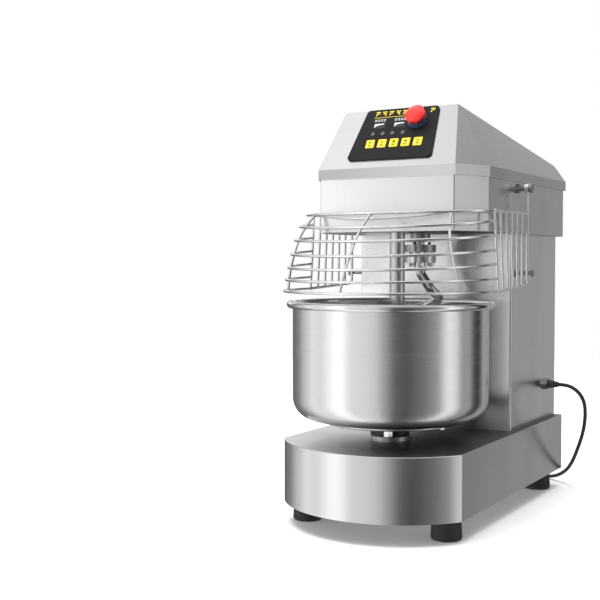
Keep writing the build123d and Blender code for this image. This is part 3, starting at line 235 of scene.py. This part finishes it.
def spun_steel(name, tone, roughness, polished_above):
    """The bowl: rings left by spinning, and a polished rolled rim."""
    material, kit, surface = shader(name, metallic=1.0, Anisotropic=0.6, Anisotropic_Rotation=0.25)
    x, y, z = kit.parts(kit.place())
    radius = kit.math("SQRT", kit.math("ADD", kit.math("POWER", x, 2.0),
                                       kit.math("POWER", kit.math("SUBTRACT", y, AXIS_Y), 2.0)))
    rings = kit.add("ShaderNodeCombineXYZ")
    kit.feed(rings.inputs[0], kit.math("MULTIPLY", x, 6.0))
    kit.feed(rings.inputs[1], kit.math("MULTIPLY", radius, 1500.0))
    kit.feed(rings.inputs[2], kit.math("MULTIPLY", z, 1900.0))
    grain = kit.noise(rings.outputs[0], 1.0, 3.0, 0.6)
    broad = kit.add("ShaderNodeCombineXYZ")
    kit.feed(broad.inputs[1], kit.math("MULTIPLY", radius, 60.0))
    kit.feed(broad.inputs[2], kit.math("MULTIPLY", z, 60.0))
    bands = kit.noise(broad.outputs[0], 1.0, 1.0)
    polished = kit.spread(z, polished_above - 0.001, polished_above + 0.001, 0.0, 1.0)
    dark = [channel * 0.92 for channel in tone]
    kit.feed(surface.inputs["Base Color"], kit.mix(kit.spread(grain, 0.3, 0.7, 0.0, 1.0), dark, tone))
    satin = kit.math("ADD", kit.spread(grain, 0.2, 0.8, roughness - 0.04, roughness + 0.04),
                     kit.spread(bands, 0.3, 0.7, -0.02, 0.03))
    rough = kit.add("ShaderNodeMix", data_type="FLOAT")
    kit.feed(rough.inputs[0], polished)
    kit.feed(rough.inputs[2], satin)
    kit.feed(rough.inputs[3], 0.11)
    kit.feed(surface.inputs["Roughness"], rough.outputs[0])
    under = kit.bump(bands, 0.0003, 0.5)
    grain_strength = kit.spread(polished, 0.0, 1.0, 0.5, 0.05)
    kit.feed(surface.inputs["Normal"], kit.bump(grain, 0.00003, grain_strength, under))
    tangent = kit.add("ShaderNodeTangent", direction_type="RADIAL", axis="Z")
    kit.feed(surface.inputs["Tangent"], tangent.outputs[0])
    return material


def plain_metal(name, tone, roughness, mottle=60.0, depth=0.00004, edge_width=0.0006, contrast=0.12):
    """Polished, plated or turned metal with fine mottling and brighter edges."""
    material, kit, surface = shader(name, metallic=1.0)
    place = kit.place()
    spots = kit.noise(place, mottle, 4.0, 0.6)
    fine = kit.noise(place, mottle * 12, 2.0)
    dark = [channel * (1 - contrast) for channel in tone]
    light = [min(1.0, channel * 1.15) for channel in tone]
    colour = kit.mix(kit.spread(spots, 0.35, 0.65, 0.0, 1.0), dark, tone)
    kit.feed(surface.inputs["Base Color"], kit.mix(worn_edges(kit, edge_width), colour, light))
    rough = kit.spread(spots, 0.3, 0.7, max(0.03, roughness - 0.04), roughness + 0.06)
    kit.feed(surface.inputs["Roughness"], rough)
    kit.feed(surface.inputs["Normal"], kit.bump(fine, depth, 0.4))
    return material


# ---- plastics, rubber and coatings ----
def moulded(name, tone, roughness, grain=900.0, depth=0.00006, lift=1.35, dust=0.0, **sockets):
    """Moulded or coated surface: fine grain, soft colour drift, lighter rubbed edges and some dust."""
    material, kit, surface = shader(name, **sockets)
    place = kit.place()
    pores = kit.noise(place, grain, 3.0, 0.6)
    drift = kit.noise(place, 28.0, 3.0, 0.55)
    dark = [channel * 0.82 for channel in tone]
    rubbed = [min(1.0, channel * lift + 0.01) for channel in tone]
    colour = kit.mix(kit.spread(drift, 0.3, 0.7, 0.0, 1.0), dark, tone)
    colour = kit.mix(kit.math("MULTIPLY", worn_edges(kit, 0.0007), 0.6), colour, rubbed)
    if dust:
        upward = kit.parts(kit.add("ShaderNodeNewGeometry").outputs["Normal"])[2]
        settled = kit.spread(upward, 0.5, 1.0, 0.0, dust)
        colour = kit.mix(kit.math("MULTIPLY", settled, drift), colour, (0.55, 0.53, 0.5))
    kit.feed(surface.inputs["Base Color"], colour)
    kit.feed(surface.inputs["Roughness"], kit.spread(pores, 0.25, 0.75, roughness - 0.06, roughness + 0.08))
    kit.feed(surface.inputs["Normal"], kit.bump(pores, depth, 0.5))
    return material


def circuit_board(name):
    """Green solder mask with copper tracks showing through it."""
    material, kit, surface = shader(name, Coat_Weight=0.4, Coat_Roughness=0.2)
    place = kit.place()
    cells = kit.add("ShaderNodeTexVoronoi", feature="DISTANCE_TO_EDGE", distance="MANHATTAN")
    kit.feed(cells.inputs["Vector"], kit.scaled(place, (1, 2, 2)))
    kit.feed(cells.inputs["Scale"], 90.0)
    track = kit.spread(cells.outputs["Distance"], 0.03, 0.06, 1.0, 0.0)
    drift = kit.noise(place, 40.0)
    green = kit.mix(drift, (0.01, 0.09, 0.03), (0.02, 0.16, 0.06))
    kit.feed(surface.inputs["Base Color"], kit.mix(track, green, (0.08, 0.33, 0.12)))
    kit.feed(surface.inputs["Roughness"], kit.spread(drift, 0.3, 0.7, 0.3, 0.45))
    kit.feed(surface.inputs["Normal"], kit.bump(track, 0.00005, 0.6))
    return material


STEEL = (0.80, 0.80, 0.81)
steel_sheet = sheet_steel("brushed_sheet", STEEL, 0.25)
# A lighter copy of the same sheet steel for the column: painted light that makes up for reflections the
# bowl, hook and guard block.
column_steel_painted_light = sheet_steel("brushed_column_painted_light", (0.94, 0.94, 0.95), 0.25)
lid_steel = sheet_steel("brushed_lid", (0.88, 0.88, 0.89), 0.25, band=LID_FOOT_Z)
bowl_steel = spun_steel("spun_bowl", (0.82, 0.82, 0.83), 0.24, RIM_BOTTOM)
disc_steel = spun_steel("turned_disc", (0.76, 0.76, 0.77), 0.30, 0.9)
wire_steel = plain_metal("polished_wire", (0.93, 0.93, 0.94), 0.17, 90.0)
bright_steel = plain_metal("bright_steel", (0.85, 0.85, 0.86), 0.14, 50.0)
hook_steel = plain_metal("polished_hook", (0.66, 0.66, 0.67), 0.18, 30.0)
# A darker copy of the bright steel: painted shade for the spiral shaft and its flange, the guard mounts and
# the cord gland, standing in for their darker reflections.
flange_steel_painted_shade = plain_metal("flange_painted_shade", (0.40, 0.40, 0.41), 0.22, 50.0, contrast=0.2)
zinc_steel = plain_metal("zinc_plate", (0.68, 0.69, 0.71), 0.33, 140.0, 0.00006, contrast=0.2)
cast_iron = plain_metal("oiled_cast_iron", (0.21, 0.21, 0.22), 0.48, 220.0, 0.0002, contrast=0.35)
chain_steel = plain_metal("chain_steel", (0.32, 0.31, 0.30), 0.38, 300.0, 0.0001, contrast=0.3)
tip_steel = plain_metal("dark_tip", (0.10, 0.10, 0.11), 0.30, 120.0, contrast=0.3)
rubber = moulded("black_rubber", (0.022, 0.022, 0.023), 0.62, 500.0, 0.00015, 1.6, dust=0.3)
belt_rubber = moulded("belt_rubber", (0.03, 0.03, 0.03), 0.7, 700.0, 0.0002)
hub_black = moulded("black_hub", (0.015, 0.015, 0.016), 0.30, 400.0, 0.00005, 2.2,
                    Coat_Weight=0.3, Coat_Roughness=0.2)
nylon = moulded("black_nylon", (0.025, 0.025, 0.026), 0.42, 900.0, 0.00008, 1.8)
panel_film = moulded("panel_film", (0.012, 0.012, 0.013), 0.46, 1400.0, 0.00003, 1.5,
                     Specular_IOR_Level=0.22)
display_glass = moulded("display_glass", (0.008, 0.008, 0.009), 0.09, 300.0, 0.00001, 1.2,
                        Coat_Weight=0.8, Coat_Roughness=0.03)
key_yellow = moulded("yellow_key", (0.86, 0.66, 0.035), 0.38, 1100.0, 0.00004, 1.1)
key_grey = moulded("grey_key", (0.10, 0.10, 0.105), 0.40, 1100.0, 0.00004, 1.4)
stop_red = moulded("stop_red", (0.72, 0.022, 0.018), 0.26, 700.0, 0.00003, 1.25,
                   Coat_Weight=0.5, Coat_Roughness=0.12)
collar_grey = moulded("collar_grey", (0.05, 0.05, 0.055), 0.40, 800.0, 0.00006, 1.5)
switch_grey = moulded("switch_grey", (0.36, 0.37, 0.38), 0.45, 700.0, 0.0001)
motor_paint = moulded("motor_paint", (0.06, 0.11, 0.16), 0.42, 260.0, 0.00025, 1.4, Coat_Weight=0.2)
cord_jacket = moulded("cord_jacket", (0.018, 0.018, 0.019), 0.45, 1300.0, 0.00008, 1.5)
board_green = circuit_board("circuit_board")
mark_yellow = moulded("yellow_print", (0.86, 0.66, 0.035), 0.42, 1500.0, 0.00001, 1.1)
mark_white = moulded("white_print_and_painted_glare", (0.62, 0.63, 0.64), 0.40, 1500.0, 0.00001, 1.1)
mark_dark = moulded("dark_print", (0.03, 0.028, 0.01), 0.45, 1500.0, 0.00001, 1.2)
mark_blue = moulded("blue_arc", (0.03, 0.11, 0.32), 0.40, 1500.0, 0.00001, 1.2)

FINISH = {
    steel_sheet: ("base_shell", "rear_cover", "head_shell"),
    column_steel_painted_light: ("column_shell",),
    lid_steel: ("lid",),
    bowl_steel: ("bowl",),
    disc_steel: ("bowl_disc", "hub_ring"),
    wire_steel: ("guard_hoops", "guard_ribs", "guard_side_right", "guard_side_left"),
    bright_steel: ("bowl_bolts", "coupling_bolts", "motor_rotor"),
    flange_steel_painted_shade: ("guard_mounts", "spiral_shaft", "cord_gland"),
    hook_steel: ("spiral_hook", "breaker_bar", "breaker_fin", "breaker_clamp"),
    zinc_steel: ("base_plate", "foot_fasteners", "cover_screws", "bearing_housings", "shaft_bearings",
                 "gear_plate"),
    cast_iron: ("bowl_drive", "motor_pulley", "jackshaft", "idler"),
    chain_steel: ("drive_chains",),
    tip_steel: ("breaker_tip",),
    rubber: ("rubber_feet",),
    belt_rubber: ("drive_belt",),
    hub_black: ("bowl_hub",),
    nylon: ("strain_relief", "power_plug"),
    panel_film: ("control_panel",),
    display_glass: ("displays",),
    collar_grey: ("estop_collar", "estop_stem"),
    switch_grey: ("switch_boxes", "estop_block"),
    stop_red: ("estop_head",),
    board_green: ("control_board",),
    motor_paint: ("motor",),
    cord_jacket: ("power_cord", "cord_coil"),
    key_yellow: tuple(f"square_key_{number}" for number in range(1, 6)),
    key_grey: tuple(f"round_key_{number}" for number in range(1, 5)),
}
for material, names in FINISH.items():
    for name in names:
        piece = nodes[name]
        if not piece.material_slots:
            piece.data.materials.append(material)
        for slot in piece.material_slots:
            slot.material = material


# ---- power cord: one smooth spline from the strain relief to the plug ----
CORD_D = 0.0075
CORD_R = CORD_D / 2
EXIT = (0.192, AXIS_Y + 0.404, 0.226)
COIL_X = 0.010
COIL_Y = AXIS_Y + 0.596
COIL_MID_R = 0.0384
TURN_PITCH = 0.0076
ENTRY_R = COIL_MID_R + TURN_PITCH
INNER_R = COIL_MID_R - TURN_PITCH
# X, Y from the bowl axis, and height of each point of the free stretch.
CORD_ROUTE = (
    (EXIT[0], 0.4040, EXIT[2]),
    (0.2090, 0.4040, EXIT[2]),
    (0.2250, 0.4070, 0.2190),
    (0.2370, 0.4105, 0.2065),
    (0.2435, 0.4150, 0.1895),
    (0.2435, 0.4220, 0.1685),
    (0.2395, 0.4315, 0.1425),
    (0.2305, 0.4425, 0.1135),
    (0.2175, 0.4570, 0.0845),
    (0.2040, 0.4725, 0.0575),
    (0.1885, 0.4885, 0.0355),
    (0.1695, 0.5045, 0.0195),
    (0.1480, 0.5195, 0.0085),
    (0.1235, 0.5330, CORD_R),
    (0.0950, 0.5445, CORD_R),
    (0.0630, 0.5500, CORD_R),
    (0.0300, COIL_Y - AXIS_Y - ENTRY_R, CORD_R),
)
TURN_POINTS = 16
LAYER_TURNS = 2.0
CROSS_TURNS = 0.25
# The spline runs inside its control points, so a turn's points stand a little outside it.
OUTSIDE = 1 / math.cos(math.pi / TURN_POINTS)

cord_points = [Vector((x, AXIS_Y + y, z)) for x, y, z in CORD_ROUTE]
coil_points = int((2 * LAYER_TURNS + CROSS_TURNS) * TURN_POINTS)
for step in range(1, coil_points + 1):
    turn = step / TURN_POINTS
    rise = min(1.0, max(0.0, (turn - LAYER_TURNS) / CROSS_TURNS))
    inward = min(turn, LAYER_TURNS)
    outward = max(0.0, turn - LAYER_TURNS - CROSS_TURNS)
    radius = OUTSIDE * (INNER_R + TURN_PITCH * (LAYER_TURNS - inward + outward))
    angle = -math.pi / 2 - 2 * math.pi * turn
    cord_points.append(Vector((COIL_X + radius * math.cos(angle), COIL_Y + radius * math.sin(angle),
                               CORD_R + TURN_PITCH * rise)))
PLUG_Y = COIL_Y + 0.024
cord_points.append(Vector((COIL_X - ENTRY_R, COIL_Y + 0.012, CORD_R + TURN_PITCH)))
cord_points.append(Vector((COIL_X - ENTRY_R, PLUG_Y + 0.001, CORD_R + TURN_PITCH)))

lead_curve = bpy.data.curves.new("mains_lead", "CURVE")
lead_curve.dimensions = "3D"
lead_curve.bevel_depth = CORD_R
lead_curve.bevel_resolution = 5
lead_curve.resolution_u = 8
lead_spline = lead_curve.splines.new("NURBS")
lead_spline.points.add(len(cord_points) - 1)
for point, place in zip(lead_spline.points, cord_points):
    point.co = (*place, 1.0)
lead_spline.order_u = 3
lead_spline.use_endpoint_u = True
lead_curve.materials.append(cord_jacket)
lead = bpy.data.objects.new("mains_lead", lead_curve)
scene.collection.objects.link(lead)
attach(lead, "frame")
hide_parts("power_cord", "cord_coil")


# ---- printed marks on the control face ----
PRINT = 0.00015
PRINT_SUNK = 0.0002
BAR_CORNER = 0.0004


def marks(name, shapes, above, thickness, material, body):
    """One mesh of thin raised shapes, each a closed outline of (x, along) points on the control face."""
    mesh = bmesh.new()
    for outline in shapes:
        low = [mesh.verts.new(face_point(x, along, above - PRINT_SUNK)) for x, along in outline]
        top = [mesh.verts.new(face_point(x, along, above + thickness)) for x, along in outline]
        mesh.faces.new(top)
        mesh.faces.new(low[::-1])
        for here in range(len(outline)):
            after = (here + 1) % len(outline)
            mesh.faces.new((low[here], low[after], top[after], top[here]))
    bmesh.ops.recalc_face_normals(mesh, faces=mesh.faces[:])
    data = bpy.data.meshes.new(name)
    mesh.to_mesh(data)
    mesh.free()
    data.materials.append(material)
    piece = bpy.data.objects.new(name, data)
    scene.collection.objects.link(piece)
    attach(piece, body)
    return piece


def bar(x, along, width, height):
    """A small bar with cut corners, centred on a point."""
    w = width / 2
    h = height / 2
    c = min(BAR_CORNER, width / 3, height / 3)
    return [(x - w + c, along - h), (x + w - c, along - h), (x + w, along - h + c), (x + w, along + h - c),
            (x + w - c, along + h), (x - w + c, along + h), (x - w, along + h - c), (x - w, along - h + c)]


def on_arc(x, along, radius, angle):
    return (x + radius * math.cos(angle), along + radius * math.sin(angle))


def dot(x, along, radius, sides=14):
    return [on_arc(x, along, radius, 2 * math.pi * k / sides) for k in range(sides)]


def ring_parts(x, along, radius, width, start, stop, steps):
    """Short pieces that follow an arc."""
    inner = radius - width / 2
    outer = radius + width / 2
    shapes = []
    for k in range(steps):
        a = math.radians(start + (stop - start) * k / steps)
        b = math.radians(start + (stop - start) * (k + 1) / steps)
        shapes.append([on_arc(x, along, inner, a), on_arc(x, along, outer, a),
                       on_arc(x, along, outer, b), on_arc(x, along, inner, b)])
    return shapes


TITLE_ALONG = 0.915 * SLOPE
TITLE_PITCH = 0.0139
TITLE_FIRST_X = -0.041
TITLE_MARKS = 9
STOP_CLEARANCE = 0.018
TITLE_LINE_ALONG = 0.838 * SLOPE
title = []
for index in range(TITLE_MARKS):
    centre = TITLE_FIRST_X + TITLE_PITCH * index
    if abs(centre - STOP_X) > STOP_CLEARANCE:
        title.append(bar(centre, TITLE_ALONG + 0.0024, 0.0092, 0.0018))
        title.append(bar(centre, TITLE_ALONG - 0.0012, 0.0068, 0.0018))
        title.append(bar(centre - 0.0025 + 0.005 * (index % 2), TITLE_ALONG - 0.0046, 0.0030, 0.0020))
title.append(bar(-0.010, TITLE_LINE_ALONG, 0.074, 0.0008))
marks("title_marks", title, PANEL_TOP, PRINT, mark_yellow, "frame")

LABEL_ROWS = 2
LABEL_COLUMNS = 4
labels = []
for x in DISPLAY_X:
    for row in range(LABEL_ROWS):
        for column in range(LABEL_COLUMNS):
            across = x - 0.009 + 0.006 * column
            along = DISPLAY_ALONG + 0.0098 + 0.003 * row
            labels.append(bar(across, along, 0.0045, 0.0014))
marks("label_marks", labels, PANEL_TOP, PRINT, mark_white, "frame")

# Painted reflection: white wedges on the two displays stand for the glare on their glass, made with the
# same white material as the printed labels.
painted_glare_shapes = []
for x in DISPLAY_X:
    painted_glare_shapes.append([(x - 0.0095, DISPLAY_ALONG - 0.0042), (x - 0.0035, DISPLAY_ALONG + 0.0010),
                  (x + 0.0085, DISPLAY_ALONG + 0.0020), (x + 0.0100, DISPLAY_ALONG + 0.0044),
                  (x - 0.0100, DISPLAY_ALONG + 0.0044)])
marks("painted_display_glare", painted_glare_shapes, DISPLAY_TOP, PRINT, mark_white, "frame")

# A blue arc of short pieces round the lower side of the stop.
STOP_RING_R = 0.0195
STOP_RING_W = 0.0016
marks("stop_ring", ring_parts(STOP_X, STOP_ALONG, STOP_RING_R, STOP_RING_W, 200, 345, 18), PANEL_TOP, PRINT,
      mark_blue, "frame")

# One plain sign for each square key, above two short lines.
ICONS = (
    lambda x, y: [[(x - 0.002, y - 0.0026), (x + 0.0028, y), (x - 0.002, y + 0.0026)]],
    lambda x, y: [bar(x - 0.0016, y, 0.0014, 0.005), bar(x + 0.0016, y, 0.0014, 0.005)],
    lambda x, y: [bar(x, y, 0.0046, 0.0046)],
    lambda x, y: [dot(x, y, 0.0024)],
    lambda x, y: [bar(x, y, 0.0052, 0.0013), bar(x, y + 0.0021, 0.0013, 0.0026),
                  bar(x, y - 0.0021, 0.0013, 0.0026)],
)
KEY_LINE_H = 0.0011
for number, (x, icon) in enumerate(zip(SQUARE_KEY_X, ICONS), start=1):
    shapes = icon(x, SQUARE_KEY_ALONG + 0.0026)
    shapes.append(bar(x, SQUARE_KEY_ALONG - 0.0030, 0.0085, KEY_LINE_H))
    shapes.append(bar(x, SQUARE_KEY_ALONG - 0.0052, 0.0060, KEY_LINE_H))
    marks(f"key_mark_{number}", shapes, KEY_TOP, PRINT, mark_dark, f"square_key_{number}")


# ---- floor, light and background ----
FLOOR_R = 3.2
FLOOR_GLOW = 0.10
floor_mesh = bmesh.new()
bmesh.ops.create_circle(floor_mesh, cap_ends=True, segments=96, radius=FLOOR_R)
floor_data = bpy.data.meshes.new("floor")
floor_mesh.to_mesh(floor_data)
floor_mesh.free()
floor = bpy.data.objects.new("floor", floor_data)
floor_paint, floor_kit, floor_surface = shader("pale_floor", Roughness=0.75, Emission_Color=(1, 1, 1, 1),
                                               Emission_Strength=FLOOR_GLOW)
floor_drift = floor_kit.noise(floor_kit.place(), 3.0)
floor_colour = floor_kit.mix(floor_drift, (0.86, 0.86, 0.86), (0.89, 0.89, 0.89))
floor_kit.feed(floor_surface.inputs["Base Color"], floor_colour)
floor_data.materials.append(floor_paint)
floor.visible_glossy = False
scene.collection.objects.link(floor)


def soft_light(name, place, aim, size, energy):
    data = bpy.data.lights.new(name, "AREA")
    data.shape = "RECTANGLE"
    data.size, data.size_y = size
    data.energy = energy
    light = bpy.data.objects.new(name, data)
    light.location = place
    light.rotation_euler = (Vector(aim) - Vector(place)).to_track_quat("-Z", "Y").to_euler()
    light.visible_camera = False
    light.visible_glossy = False
    scene.collection.objects.link(light)


soft_light("overhead", (-0.3, -0.3, 3.4), (0, 0, 0), (2.8, 2.8), 200)

# How bright the studio is at each bearing, in degrees anticlockwise from +X.
STUDIO = (
    (-180, 0.65), (-165, 0.98), (-154, 0.86), (-126, 1.38), (-119, 1.30), (-111, 0.88), (-96, 0.86),
    (-82, 0.76),
    (-70, 0.40), (-58, 0.12), (-45, 0.09), (-30, 0.17), (-10, 0.32), (7, 1.02), (16, 0.88), (27, 0.32),
    (38, 0.40), (49, 0.06), (60, 0.02), (70, 0.40), (84, 0.34), (135, 0.12), (158, 0.22), (180, 0.65),
)
OVERHEAD_LEVEL = 0.95
BACK_WALL_LEVEL = 0.95
BACK_WALL_BEARING = math.radians(121)
SEEN_LEVEL = 1.0
world = bpy.data.worlds.new("studio")
world.use_nodes = True
scene.world = world
sky = Nodes(world.node_tree)
background = world.node_tree.nodes["Background"]
east, north, height = sky.parts(sky.add("ShaderNodeTexCoord").outputs["Generated"])
bearing = sky.math("ARCTAN2", north, east)
ramp = sky.add("ShaderNodeValToRGB")
ramp.color_ramp.interpolation = "EASE"
stops = ramp.color_ramp.elements
for index, (degrees, level) in enumerate(STUDIO):
    where = (degrees + 180) / 360
    if index == 0:
        stop = stops[0]
        stop.position = where
    elif index == len(STUDIO) - 1:
        stop = stops[len(stops) - 1]
        stop.position = where
    else:
        stop = stops.new(where)
    stop.color = (level / 2, level / 2, level / 2, 1)
sky.feed(ramp.inputs[0], sky.spread(bearing, -math.pi, math.pi, 0.0, 1.0))
round_light = sky.math("MULTIPLY", ramp.outputs[0], 2.0)
# A pale wall high up behind the machine, which brightens the sheets that face up.
off_back = sky.math("ABSOLUTE", sky.math("SUBTRACT", bearing, BACK_WALL_BEARING))
back_width = sky.spread(off_back, math.radians(22), math.radians(48), 1.0, 0.0, smooth=True)
back_height = sky.spread(height, 0.04, 0.11, 0.0, BACK_WALL_LEVEL, smooth=True)
back_wall = sky.math("MULTIPLY", back_width, back_height)
round_light = sky.math("MAXIMUM", round_light, back_wall)
overhead_share = sky.spread(height, 0.55, 0.9, 0.0, 1.0, smooth=True)
light_mix = sky.add("ShaderNodeMix", data_type="FLOAT")
sky.feed(light_mix.inputs[0], overhead_share)
sky.feed(light_mix.inputs[2], round_light)
sky.feed(light_mix.inputs[3], OVERHEAD_LEVEL)
seen = sky.add("ShaderNodeLightPath").outputs["Is Camera Ray"]
level_mix = sky.add("ShaderNodeMix", data_type="FLOAT")
sky.feed(level_mix.inputs[0], seen)
sky.feed(level_mix.inputs[2], light_mix.outputs[0])
sky.feed(level_mix.inputs[3], SEEN_LEVEL)
sky.feed(background.inputs["Color"], (1, 1, 1, 1))
sky.feed(background.inputs["Strength"], level_mix.outputs[0])

scene.view_settings.view_transform = "Standard"
scene.view_settings.look = "None"
